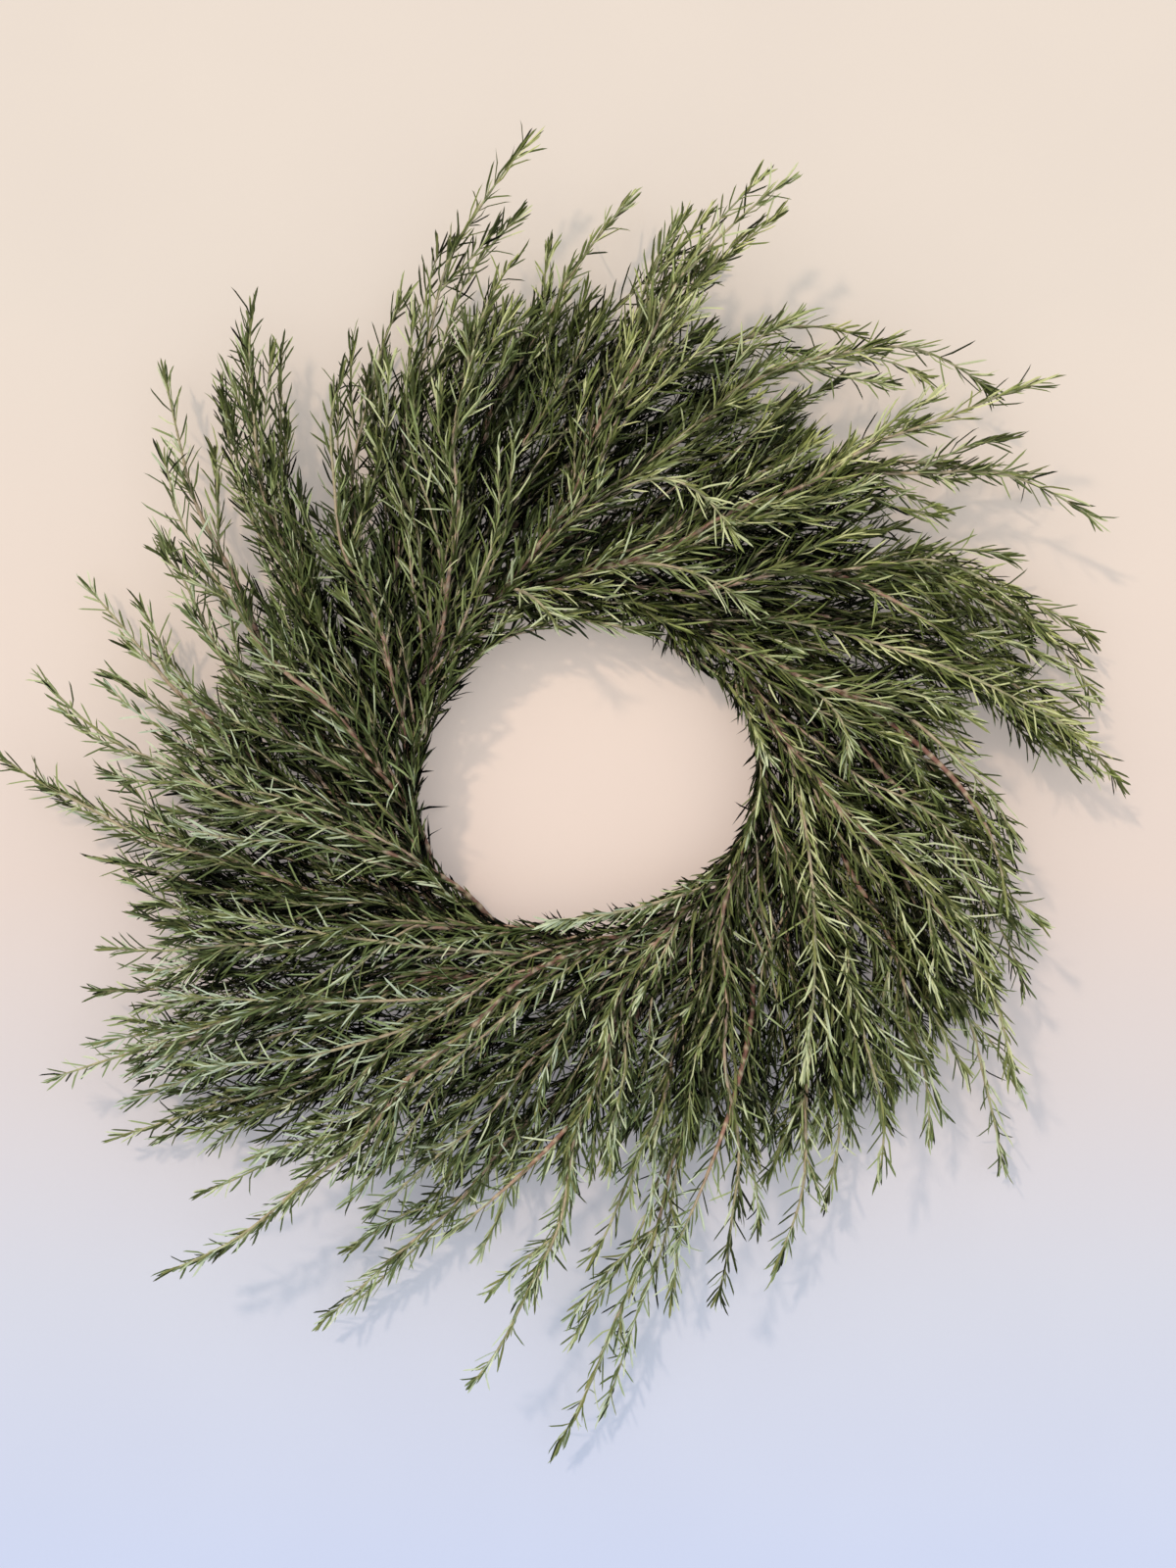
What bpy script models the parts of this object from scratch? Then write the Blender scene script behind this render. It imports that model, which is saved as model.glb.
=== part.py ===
"""Herb wreath: fourteen bundles of rosemary sprigs tied round a welded wire ring.

It lies flat on its back. +Z is up, +Y points to the top of the wreath and lengths are in metres. All the
sprigs sweep clockwise, seen from above. Each bundle is tied at its stems and lies over the next bundle's tie,
so the sprigs rise as they leave the ring.
"""

import math

import bmesh
import bpy
import numpy as np

MM = 0.001

# Ring
BUNDLE_COUNT = 14
FIRST_TIE_DEG = 204.0
TIE_STEP_DEG = 360.0 / BUNDLE_COUNT
WIRE_RADII = (143.0 * MM, 150.0 * MM, 157.0 * MM)
WIRE_THICKNESS = 3.0 * MM
WIRE_SEGMENTS = 42
WIRE_SIDES = 6
CROSSBAR_COUNT = 7
CROSSBAR_THICKNESS = 2.2 * MM
GAP = 0.3 * MM

# Ties
TIE_THICKNESS = 1.4 * MM
TIE_SIDES = 5
TIE_CORNER = 2.5 * MM
TIE_CORNER_STEPS = 2

# Sprigs
STEM_RADIUS = 2.5 * MM
STEM_BEHIND_TIE = 16.0 * MM
SPRIG_SIDES = 6
CLIMB_START = 5.0 * MM
CLIMB_LENGTH = 180.0 * MM
DROOP_START = 0.55
PATH_STEPS = 160
FOLLOW_STEPS = 24

# Along a sprig, as fractions of its length from the tie: half width and half height of the leafy body.
BODY_PROFILE = (
    (0.00, 2.5 * MM, 2.5 * MM),
    (0.01, 2.5 * MM, 2.5 * MM),
    (0.04, 2.6 * MM, 2.5 * MM),
    (0.11, 5.0 * MM, 3.1 * MM),
    (0.20, 9.5 * MM, 4.0 * MM),
    (0.30, 12.0 * MM, 4.6 * MM),
    (0.40, 13.0 * MM, 5.0 * MM),
    (0.50, 13.2 * MM, 5.2 * MM),
    (0.60, 12.6 * MM, 5.2 * MM),
    (0.70, 11.8 * MM, 5.2 * MM),
    (0.79, 10.8 * MM, 5.0 * MM),
    (0.87, 9.4 * MM, 4.6 * MM),
    (0.94, 6.6 * MM, 3.6 * MM),
    (1.00, 1.6 * MM, 1.4 * MM),
)

# Side shoots of a sprig: where they fork off as a share of its length, the side they take (1 is left, looking
# to the tip) and their length. Successive sprigs take successive rows.
SHOOTS = (
    ((0.50, 1, 74.0 * MM), (0.66, -1, 60.0 * MM)),
    ((0.46, -1, 70.0 * MM), (0.72, 1, 52.0 * MM)),
    ((0.56, 1, 66.0 * MM), (0.62, -1, 72.0 * MM)),
    ((0.52, -1, 80.0 * MM), (0.68, 1, 56.0 * MM)),
    ((0.44, 1, 68.0 * MM), (0.74, -1, 50.0 * MM)),
)
SHOOT_SIDES = 6
SHOOT_ANGLE_DEG = 30.0
SHOOT_STRAIGHTENING = 0.6
# Along a side shoot, as shares of its length: half width and half height.
SHOOT_PROFILE = (
    (0.00, 2.6 * MM, 2.4 * MM),
    (0.30, 6.6 * MM, 3.8 * MM),
    (0.75, 6.2 * MM, 3.8 * MM),
    (1.00, 1.4 * MM, 1.2 * MM),
)

# The three places in a bundle, from the outer one to the inner one: ring wire under the stem, how far the
# sprig follows the ring, its radius there, the two handle lengths of its free curve as shares of the chord,
# and its first slope upwards.
PLACES = (
    (157.0 * MM, 3.0, 158.0 * MM, 0.18, 0.42, 0.16),
    (150.0 * MM, 12.0, 147.0 * MM, 0.26, 0.42, 0.25),
    (143.0 * MM, 26.0, 127.0 * MM, 0.32, 0.40, 0.36),
)

# The tips of each bundle, from its outer sprig to its inner one: angle and radius about the ring's centre,
# heading of the tip and its droop. Angles are anticlockwise from +X.
TIPS = (
    ((138, 399, 100, 10), (127, 385, 85, 6), (123, 310, 74, 12)),
    ((112, 350, 65, 12), (96, 424, 50, 4), (99, 341, 58, 12)),
    ((86, 392, 50, 8), (80, 359, 40, 14), (71, 413, 33, 6)),
    ((58, 358, -12, 16), (43, 384, -36, 20), (40, 395, 18, 6)),
    ((33, 372, -10, 16), (26, 388, -34, 8), (17, 320, -52, 12)),
    ((8, 361, -58, 14), (-2, 373, -50, 18), (-9, 292, -66, 8)),
    ((-21, 324, -72, 10), (-27, 344, -70, 16), (-36, 360, -80, 12)),
    ((-44, 412, -80, 18), (-47, 350, -88, 8), (-54, 344, -96, 12)),
    ((-61, 352, -102, 8), (-69, 376, -112, 16), (-76, 376, -106, 12)),
    ((-92, 480, -117, 12), (-89, 345, -118, 8), (-100, 430, -128, 14)),
    ((-115, 436, -140, 12), (-115, 345, -142, 8), (-129, 448, -157, 12)),
    ((-141, 422, -163, 12), (-149, 429, -162, 16), (-158, 345, 176, 8)),
    ((-168, 345, 165, 8), (-180, 407, 147, 16), (-188, 372, 134, 10)),
    ((-199, 372, 130, 12), (-207, 326, 112, 8), (-215, 350, 102, 10)),
)

GREEN = (0.105, 0.165, 0.060, 1.0)
STEEL = (0.060, 0.095, 0.050, 1.0)
TIE_GREEN = (0.080, 0.120, 0.060, 1.0)

WIRE_LEVEL = TIE_THICKNESS + GAP + WIRE_THICKNESS / 2
STEM_LEVEL = WIRE_LEVEL + WIRE_THICKNESS / 2 + GAP + STEM_RADIUS
TIE_TOP = STEM_LEVEL + STEM_RADIUS + GAP + TIE_THICKNESS / 2


def polar(radius, degrees):
    a = math.radians(degrees)
    return np.array([radius * math.cos(a), radius * math.sin(a)])


def heading(degrees):
    return polar(1.0, degrees)


def plan_path(tie_deg, place, tip):
    """Points of a sprig's centre line in plan, from its tie to its tip."""
    wire_radius, follow_deg, follow_radius, first_handle, last_handle, _ = place
    tip_deg, tip_radius, tip_heading, _ = tip
    share = np.linspace(0.0, 1.0, FOLLOW_STEPS)[:-1]
    ease = share * share * (3 - 2 * share)
    radii = wire_radius + (follow_radius - wire_radius) * ease
    arc = [polar(r, tie_deg - follow_deg * f) for r, f in zip(radii, share)]
    start_deg = tie_deg - follow_deg
    start = polar(follow_radius, start_deg)
    end = polar(tip_radius * MM, tip_deg)
    chord = float(np.linalg.norm(end - start))
    near = start + heading(start_deg - 90) * chord * first_handle
    far = end - heading(tip_heading) * chord * last_handle
    t = np.linspace(0.0, 1.0, PATH_STEPS)[:, None]
    curve = (1 - t) ** 3 * start + 3 * (1 - t) ** 2 * t * near + 3 * (1 - t) * t**2 * far + t**3 * end
    return np.vstack([np.array(arc), curve])


def sprig_levels(distance, length, climb, droop):
    """Height of the centre line at a distance from the tie: a climb that eases off, then a drooping tip."""
    risen = np.maximum(distance - CLIMB_START, 0.0)
    level = STEM_LEVEL + climb * CLIMB_LENGTH * (1 - np.exp(-risen / CLIMB_LENGTH))
    past = np.clip((distance / length - DROOP_START) / (1 - DROOP_START), 0.0, 1.0)
    return level - droop * MM * past**2


def sprig_stations(tie_deg, place, tip):
    """Centres, half widths and half heights of a sprig's sections, from its cut end to its tip."""
    wire_radius, climb, droop = place[0], place[-1], tip[-1]
    path = plan_path(tie_deg, place, tip)
    steps = np.linalg.norm(np.diff(path, axis=0), axis=1)
    along = np.concatenate([[0.0], np.cumsum(steps)])
    length = along[-1]
    profile = np.array(BODY_PROFILE)
    distance = profile[:, 0] * length
    plan = np.column_stack([np.interp(distance, along, path[:, i]) for i in range(2)])
    level = sprig_levels(distance, length, climb, droop)
    centres = np.column_stack([plan, level])
    cut_end = polar(wire_radius, tie_deg) - heading(tie_deg - 90) * STEM_BEHIND_TIE
    centres = np.vstack([[cut_end[0], cut_end[1], STEM_LEVEL], centres])
    sizes = np.vstack([profile[:1, 1:], profile[:, 1:]])
    return centres, sizes[:, 0], sizes[:, 1]


def mesh_object(name, points, faces, material):
    mesh = bpy.data.meshes.new(name)
    mesh.from_pydata([tuple(p) for p in points], [], faces)
    mesh.materials.append(material)
    made = bpy.data.objects.new(name, mesh)
    bpy.context.scene.collection.objects.link(made)
    tidy = bmesh.new()
    tidy.from_mesh(mesh)
    bmesh.ops.triangulate(tidy, faces=tidy.faces)
    bmesh.ops.recalc_face_normals(tidy, faces=tidy.faces)
    tidy.to_mesh(mesh)
    tidy.free()
    return made


def ring_faces(first, second, sides):
    return [
        (first + i, first + (i + 1) % sides, second + (i + 1) % sides, second + i)
        for i in range(sides)
    ]


def loft(name, centres, widths, heights, sides, material):
    """A closed body through flattened sections, with a flat side facing down at the stated half height."""
    forward = np.gradient(centres, axis=0)
    forward[0] = centres[1] - centres[0]
    forward /= np.linalg.norm(forward, axis=1)[:, None]
    across = np.column_stack([-forward[:, 1], forward[:, 0], np.zeros(len(forward))])
    across /= np.linalg.norm(across, axis=1)[:, None]
    upward = np.cross(forward, across) / math.cos(math.pi / sides)
    points = []
    faces = []
    for i, centre in enumerate(centres):
        for side in range(sides):
            a = 2 * math.pi * side / sides
            points.append(
                centre + across[i] * widths[i] * math.cos(a) + upward[i] * heights[i] * math.sin(a)
            )
        if i:
            faces += ring_faces((i - 1) * sides, i * sides, sides)
    faces.append(tuple(range(sides)))
    last = (len(centres) - 1) * sides
    faces.append(tuple(last + i for i in range(sides)))
    return mesh_object(name, points, faces, material)


def shoot_stations(centres, fork, side, length):
    """Sections of a side shoot, which leaves the sprig at a sharp angle and then turns along it."""
    steps = np.linalg.norm(np.diff(centres, axis=0), axis=1)
    along = np.concatenate([[0.0], np.cumsum(steps)])
    distance = STEM_BEHIND_TIE + fork * (along[-1] - STEM_BEHIND_TIE)
    profile = np.array(SHOOT_PROFILE)
    stem = distance + profile[:, 0] * length
    on_stem = np.column_stack([np.interp(stem, along, centres[:, i]) for i in range(3)])
    forward = on_stem[-1] - on_stem[0]
    across = np.array([-forward[1], forward[0], 0.0]) / np.hypot(forward[0], forward[1])
    share = profile[:, 0]
    spread = length * math.tan(math.radians(SHOOT_ANGLE_DEG))
    aside = side * spread * (share - SHOOT_STRAIGHTENING * share**2 / 2)
    return on_stem + aside[:, None] * across, profile[:, 1], profile[:, 2]


def sprig(name, tie_deg, place, tip, shoots, material):
    """One sprig with its side shoots as one lofted body, flattened across its leaves."""
    centres, widths, heights = sprig_stations(tie_deg, place, tip)
    body = loft(name, centres, widths, heights, SPRIG_SIDES, material)
    forks = []
    for i, (fork, side, length) in enumerate(shoots):
        stations = shoot_stations(centres, fork, side, length)
        forks.append(loft(f"{name}_shoot_{i}", *stations, SHOOT_SIDES, material))
    join_solid(body, forks)
    return body


def closed_sweep(path, outward, sideways, radius, sides):
    """Points and faces of a wire of one radius along a closed path, given its normals at each point."""
    points = []
    faces = []
    count = len(path)
    for i in range(count):
        for side in range(sides):
            a = 2 * math.pi * side / sides
            points.append(path[i] + radius * (outward[i] * math.cos(a) + sideways[i] * math.sin(a)))
        faces += ring_faces(i * sides, ((i + 1) % count) * sides, sides)
    return points, faces


def ring_wire(name, radius, material):
    degrees = np.arange(WIRE_SEGMENTS) * 360.0 / WIRE_SEGMENTS
    path = [np.append(polar(radius, d), WIRE_LEVEL) for d in degrees]
    radial = [np.append(heading(d), 0.0) for d in degrees]
    up = [np.array([0.0, 0.0, 1.0])] * WIRE_SEGMENTS
    points, faces = closed_sweep(path, up, radial, WIRE_THICKNESS / 2, WIRE_SIDES)
    return mesh_object(name, points, faces, material)


def crossbar(name, degrees, material):
    """A short bar welded across the wires."""
    out = np.append(heading(degrees), 0.0)
    side = np.append(heading(degrees + 90), 0.0)
    up = np.array([0.0, 0.0, 1.0])
    points = []
    for radius in (WIRE_RADII[0], WIRE_RADII[-1]):
        for i in range(WIRE_SIDES):
            a = 2 * math.pi * i / WIRE_SIDES
            ring = (side * math.cos(a) + up * math.sin(a)) * CROSSBAR_THICKNESS / 2
            points.append(out * radius + up * WIRE_LEVEL + ring)
    faces = ring_faces(0, WIRE_SIDES, WIRE_SIDES)
    faces.append(tuple(range(WIRE_SIDES)))
    faces.append(tuple(WIRE_SIDES + i for i in range(WIRE_SIDES)))
    return mesh_object(name, points, faces, material)


def join_solid(target, others):
    """Unites the other solids with the target and removes them."""
    for other in others:
        step = target.modifiers.new("unite", "BOOLEAN")
        step.operation = "UNION"
        step.solver = "EXACT"
        step.object = other
        bpy.context.view_layer.objects.active = target
        bpy.ops.object.modifier_apply(modifier=step.name)
        bpy.data.objects.remove(other)


def wire_ring(material):
    wires = [ring_wire(f"wire_{i}", r, material) for i, r in enumerate(WIRE_RADII)]
    step = 360.0 / CROSSBAR_COUNT
    first = FIRST_TIE_DEG - TIE_STEP_DEG / 2
    bars = [crossbar(f"bar_{i}", first - step * i, material) for i in range(CROSSBAR_COUNT)]
    ring = wires[0]
    join_solid(ring, bars + wires[1:])
    ring.name = "wire_ring"
    ring.data.name = "wire_ring"
    return ring


def tie(name, tie_deg, material):
    """A closed wire loop round the ring's wires and the three stems."""
    clear = GAP + TIE_THICKNESS / 2
    inner = WIRE_RADII[0] - STEM_RADIUS - clear + TIE_CORNER
    outer = WIRE_RADII[-1] + STEM_RADIUS + clear - TIE_CORNER
    low = TIE_THICKNESS / 2 + TIE_CORNER
    high = TIE_TOP - TIE_CORNER
    out = np.append(heading(tie_deg), 0.0)
    up = np.array([0.0, 0.0, 1.0])
    along = np.append(heading(tie_deg - 90), 0.0)
    path = []
    normals = []
    corners = ((outer, low, -90), (outer, high, 0), (inner, high, 90), (inner, low, 180))
    for radius, level, start in corners:
        for i in range(TIE_CORNER_STEPS + 1):
            a = math.radians(start + 90.0 * i / TIE_CORNER_STEPS)
            normal = out * math.cos(a) + up * math.sin(a)
            path.append(out * radius + up * level + normal * TIE_CORNER)
            normals.append(normal)
    points, faces = closed_sweep(path, normals, [along] * len(path), TIE_THICKNESS / 2, TIE_SIDES)
    return mesh_object(name, points, faces, material)


def plain_material(name, colour, metallic, roughness):
    material = bpy.data.materials.new(name)
    material.use_nodes = True
    shader = material.node_tree.nodes["Principled BSDF"]
    shader.inputs["Base Color"].default_value = colour
    shader.inputs["Metallic"].default_value = metallic
    shader.inputs["Roughness"].default_value = roughness
    return material


def stand_on_floor(made):
    """Puts the origin at the middle of the whole wreath's underside."""
    points = np.array([v.co for o in made for v in o.data.vertices])
    low = points.min(axis=0)
    high = points.max(axis=0)
    shift = np.array([(low[0] + high[0]) / 2, (low[1] + high[1]) / 2, low[2]])
    for o in made:
        for v in o.data.vertices:
            v.co = np.array(v.co) - shift


def build():
    for old in list(bpy.data.objects):
        bpy.data.objects.remove(old)
    leaf = plain_material("rosemary", GREEN, 0.0, 0.6)
    steel = plain_material("ring_wire", STEEL, 0.3, 0.45)
    binding = plain_material("tie_wire", TIE_GREEN, 0.3, 0.45)
    made = [wire_ring(steel)]
    for k, tips in enumerate(TIPS):
        tie_deg = FIRST_TIE_DEG - TIE_STEP_DEG * k
        number = f"{k + 1:02d}"
        made.append(tie(f"tie_{number}", tie_deg, binding))
        for i, (letter, place, tip) in enumerate(zip("abc", PLACES, tips)):
            shoots = SHOOTS[(k * len(PLACES) + i) % len(SHOOTS)]
            made.append(sprig(f"sprig_{number}_{letter}", tie_deg, place, tip, shoots, leaf))
    stand_on_floor(made)


build()
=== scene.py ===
"""Looks of the herb wreath, laid on a floor.

Each rosemary sprig gets its stems and its needle leaves, and the ring and its ties get round wire.
"""

import math

import bpy
import numpy as np
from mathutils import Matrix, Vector


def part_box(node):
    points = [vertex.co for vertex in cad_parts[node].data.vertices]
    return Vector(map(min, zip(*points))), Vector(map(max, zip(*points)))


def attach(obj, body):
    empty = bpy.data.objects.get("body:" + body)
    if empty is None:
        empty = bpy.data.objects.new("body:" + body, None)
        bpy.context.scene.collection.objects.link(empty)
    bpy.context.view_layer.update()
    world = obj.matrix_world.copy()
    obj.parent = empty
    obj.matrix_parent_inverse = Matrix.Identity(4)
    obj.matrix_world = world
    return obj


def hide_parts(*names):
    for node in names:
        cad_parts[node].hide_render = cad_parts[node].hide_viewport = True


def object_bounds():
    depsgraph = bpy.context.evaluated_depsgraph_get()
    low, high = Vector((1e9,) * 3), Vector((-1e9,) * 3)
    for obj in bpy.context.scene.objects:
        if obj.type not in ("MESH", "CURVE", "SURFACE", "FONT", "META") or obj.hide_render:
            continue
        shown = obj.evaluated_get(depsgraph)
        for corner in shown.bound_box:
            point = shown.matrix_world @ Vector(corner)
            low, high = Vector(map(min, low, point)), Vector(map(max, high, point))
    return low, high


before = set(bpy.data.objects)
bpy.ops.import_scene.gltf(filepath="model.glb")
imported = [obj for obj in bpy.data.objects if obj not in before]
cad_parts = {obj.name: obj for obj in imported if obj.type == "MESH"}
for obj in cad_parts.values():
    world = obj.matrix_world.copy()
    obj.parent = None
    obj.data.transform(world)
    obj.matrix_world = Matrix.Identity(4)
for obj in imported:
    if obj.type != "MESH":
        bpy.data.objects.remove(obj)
cad_low, cad_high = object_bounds()

MM = 0.001
UP = np.array([0.0, 0.0, 1.0])

ring_low, ring_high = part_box("wire_ring")
RING_CENTRE = np.array([(ring_low.x + ring_high.x) / 2, (ring_low.y + ring_high.y) / 2, 0.0])
WIRE_LEVEL = (ring_low.z + ring_high.z) / 2

# The ring and its ties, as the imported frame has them, about the ring's centre.
BUNDLE_COUNT = 14
FIRST_TIE_DEG = 204.0
TIE_STEP_DEG = 360.0 / BUNDLE_COUNT
WIRE_RADII = (143.0 * MM, 150.0 * MM, 157.0 * MM)
WIRE_THICKNESS = 3.0 * MM
CROSSBAR_COUNT = 7
CROSSBAR_THICKNESS = 2.2 * MM
GAP = 0.3 * MM
TIE_THICKNESS = 1.4 * MM
TIE_CORNER = 2.5 * MM
TIE_WRAPS = 3

# The sprigs' lines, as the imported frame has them. A place is the wire's radius, how far the sprig
# follows the ring in degrees and to which radius, the curve's two handles as shares of its chord,
# and its climb. A tip is its angle and radius in millimetres about the ring's centre, its heading
# in degrees and its droop in millimetres. A shoot is the share of the leafy length at which it
# starts, its side and its length, and all of them leave their stem at one angle.
STEM_RADIUS = 2.5 * MM
STEM_BEHIND_TIE = 16.0 * MM
CLIMB_START = 5.0 * MM
CLIMB_LENGTH = 180.0 * MM
DROOP_START = 0.55
PATH_STEPS = 160
FOLLOW_STEPS = 24
PLACES = (
    (157.0 * MM, 3.0, 158.0 * MM, 0.18, 0.42, 0.16),
    (150.0 * MM, 12.0, 147.0 * MM, 0.26, 0.42, 0.25),
    (143.0 * MM, 26.0, 127.0 * MM, 0.32, 0.40, 0.36),
)
TIPS = (
    ((138, 399, 100, 10), (127, 385, 85, 6), (123, 310, 74, 12)),
    ((112, 350, 65, 12), (96, 424, 50, 4), (99, 341, 58, 12)),
    ((86, 392, 50, 8), (80, 359, 40, 14), (71, 413, 33, 6)),
    ((58, 358, -12, 16), (43, 384, -36, 20), (40, 395, 18, 6)),
    ((33, 372, -10, 16), (26, 388, -34, 8), (17, 320, -52, 12)),
    ((8, 361, -58, 14), (-2, 373, -50, 18), (-9, 292, -66, 8)),
    ((-21, 324, -72, 10), (-27, 344, -70, 16), (-36, 360, -80, 12)),
    ((-44, 412, -80, 18), (-47, 350, -88, 8), (-54, 344, -96, 12)),
    ((-61, 352, -102, 8), (-69, 376, -112, 16), (-76, 376, -106, 12)),
    ((-92, 480, -117, 12), (-89, 345, -118, 8), (-100, 430, -128, 14)),
    ((-115, 436, -140, 12), (-115, 345, -142, 8), (-129, 448, -157, 12)),
    ((-141, 422, -163, 12), (-149, 429, -162, 16), (-158, 345, 176, 8)),
    ((-168, 345, 165, 8), (-180, 407, 147, 16), (-188, 372, 134, 10)),
    ((-199, 372, 130, 12), (-207, 326, 112, 8), (-215, 350, 102, 10)),
)
FORK_DEG = 30.0
SHOOTS = (
    ((0.50, 1, 74.0 * MM), (0.66, -1, 60.0 * MM)),
    ((0.46, -1, 70.0 * MM), (0.72, 1, 52.0 * MM)),
    ((0.56, 1, 66.0 * MM), (0.62, -1, 72.0 * MM)),
    ((0.52, -1, 80.0 * MM), (0.68, 1, 56.0 * MM)),
    ((0.44, 1, 68.0 * MM), (0.74, -1, 50.0 * MM)),
)
STEM_LEVEL = WIRE_LEVEL + WIRE_THICKNESS / 2 + GAP + STEM_RADIUS
TIE_TOP = STEM_LEVEL + STEM_RADIUS + GAP + TIE_THICKNESS / 2

# How far the looks may pass the frame's box, and how near leaves and then all else may come to
# the floor.
ROOM = np.array([18.0 * MM, 20.0 * MM, 10.0 * MM])
LEAST_LEVEL = 0.9 * MM
LOWEST = 0.3 * MM

# Leaves: share of the length, width and ridge height at each row, for grown leaves and for the
# small ones.
GROWN_ROWS = ((0.0, 0.50, 0.7), (0.34, 1.0, 1.0), (0.84, 0.80, 0.9))
SMALL_ROWS = ((0.0, 0.55, 0.8), (0.62, 1.0, 1.0))
LEAF_THICKNESS = 0.40

# Leaves on sprigs, on side shoots and on top shoots: their lean from the stem in degrees and how
# many small ones an axil holds. Then how many lie over the stem at a node, on most shoots and on
# the top ones, how many make the tuft at a tip, and the least and the most that any leaf leans.
SPRIG_LEAVES = (34, 1.1)
SHOOT_LEAVES = (32, 0.7)
TOP_LEAVES = (38, 1.1)
COVER_COUNT = 1.0
TOP_COVER = 0.15
TUFT_LEAVES = 5
LEAST_LEAN, MOST_LEAN = 4, 62

# Side shoots of each sprig: how many are long and how many short, how many hide the ring on the
# innermost sprigs, and the least length of any. Then the wood between two nodes of sprigs, side
# shoots and top shoots.
LONG_SHOOTS = 11
SHORT_SHOOTS = 8
INNER_SHOOTS = 3
LEAST_SHOOT = 14 * MM
SPRIG_NODE_GAP = 11 * MM
SHOOT_NODE_GAP = 14 * MM
TOP_NODE_GAP = 9 * MM

# How far the dense part of the wreath reaches from the ring's centre, every 15 degrees from +X,
# the radius of the open middle, every 30 degrees from +X, the sprigs that are bushy to their
# ends, and those that have a few long shoots past the dense part.
DENSE_RADII = MM * np.array([
    225, 300, 245, 265, 275, 312, 308, 308, 268, 228, 232, 232,
    268, 305, 320, 352, 316, 294, 272, 264, 306, 312, 325, 272,
])
HOLE_RADII = MM * np.array([119, 110, 90, 88, 101, 104, 113, 131, 132, 106, 107, 120])
BUSHY_SPRIGS = ("01_b", "03_c", "06_a", "06_b", "12_a", "12_b")
FULLER_SPRIGS = ("02_b", "03_a", "04_b", "10_a", "10_c", "11_a", "11_c", "13_b", "13_c", "14_a")
FULLER_SHOOTS = 2

# Shoots that lie over all others: their sprig, how far along it they start, where they bend and
# end as degrees and millimetres about the ring's centre, how fresh their leaves are and the share
# of their length that is bare. Then the bare share from which a shoot is old, and how thick old
# and fresh ones are.
TOP_SHOOTS = (
    ("05_a", 34 * MM, (77, 236), (57, 184), 0.98, 0.1),
    ("05_c", 44 * MM, (66, 156), (45, 152), 0.88, 0.1),
    ("04_c", 40 * MM, (106, 124), (102, 90), 0.85, 0.3),
    ("10_c", 30 * MM, (292, 114), (259, 112), 0.90, 0.1),
    ("07_c", 60 * MM, (14, 188), (1, 178), 0.92, 0.1),
    ("11_a", 90 * MM, (274, 240), (254, 336), 0.66, 0.55),
    ("10_a", 80 * MM, (304, 226), (281, 334), 0.64, 0.60),
    ("06_a", 95 * MM, (35, 228), (18, 262), 0.66, 0.55),
    ("06_c", 190 * MM, (-3, 280), (-18, 300), 0.50, 0.60),
    ("12_a", 60 * MM, (225, 240), (210, 322), 0.90, 0.1),
    ("12_b", 75 * MM, (233, 262), (219, 332), 0.84, 0.1),
    ("11_c", 120 * MM, (245, 262), (233, 312), 0.86, 0.1),
    ("12_c", 30 * MM, (226, 184), (204, 262), 0.88, 0.1),
    ("08_c", 40 * MM, (-24, 184), (-54, 256), 0.90, 0.1),
    ("06_c", 62 * MM, (20, 246), (3, 334), 0.88, 0.1),
)
MOSTLY_BARE = 0.5
BARE_RADIUS = 2.1 * MM
FRESH_RADIUS = 1.35 * MM

# How far and how often a sprig sways to its sides.
SWAY = 3.0 * MM
SWAY_LENGTH = 110 * MM

# Painted shade under other leaves: the cells it is counted in, how many leaves above shade a spot
# by two thirds, the share of it that counts at the fringe, how much darker (painted shade) and
# broader the most shaded leaves are, how much lighter leaves in the open are painted, and the
# shade past which leaves are plain and past which every other one goes.
CANOPY_CELL = 7.0 * MM
CANOPY_LAYER = 4.0 * MM
LEAVES_THAT_SHADE = 26.0
FRINGE_SHADE = 0.45
PAINTED_SHADE_DEPTH = 1.0
SHADE_BREADTH = 0.90
OPEN_PAINTED_LIGHT = 0.19
PLAIN_SHADE = 0.74
SPARSE_SHADE = 0.90

# Shoots that fill gaps: the cells that leaves are counted in, shoots for each sprig and tries for
# each, how many leaves cover a spot by two thirds, and how open it has to be for a shoot.
GAP_CELL = 9.0 * MM
GAP_SHOOTS = 12
GAP_TRIES = 18
LEAVES_THAT_COVER = 8.0
LEAST_OPEN = 0.25

SPRIG_SEED = 4100
TIE_SEED = 700

# The floor: half its size, from where to where it turns from blue to cream along Y, from where to
# where it fades outwards to one colour and from where to where its middle is lightened with painted
# light, and how much of its own colour the camera sees whatever the light, a glow that lightens its
# shadows.
FLOOR_REACH = 30.0
BLUE_TO_CREAM = (-0.55, 0.60)
FADE = (0.74, 1.50)
PAINTED_LIGHT_MIDDLE = (0.20, 0.08)
OWN_SHARE = 0.25

# The camera: its lens in millimetres, the height it sees at the wreath's middle level, and how
# far it is off the ring's centre.
LENS = 30.0
SEEN_HEIGHT = 1.088
MIDDLE_LEVEL = 40 * MM
CAMERA_OFFSET = np.array([1.4 * MM, -17 * MM, 0.0])


def polar(radius, degrees):
    angle = math.radians(degrees)
    return np.array([radius * math.cos(angle), radius * math.sin(angle)])


def heading(degrees):
    return polar(1.0, degrees)


def unit(vectors):
    return vectors / np.maximum(np.linalg.norm(vectors, axis=-1, keepdims=True), 1e-12)


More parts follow.
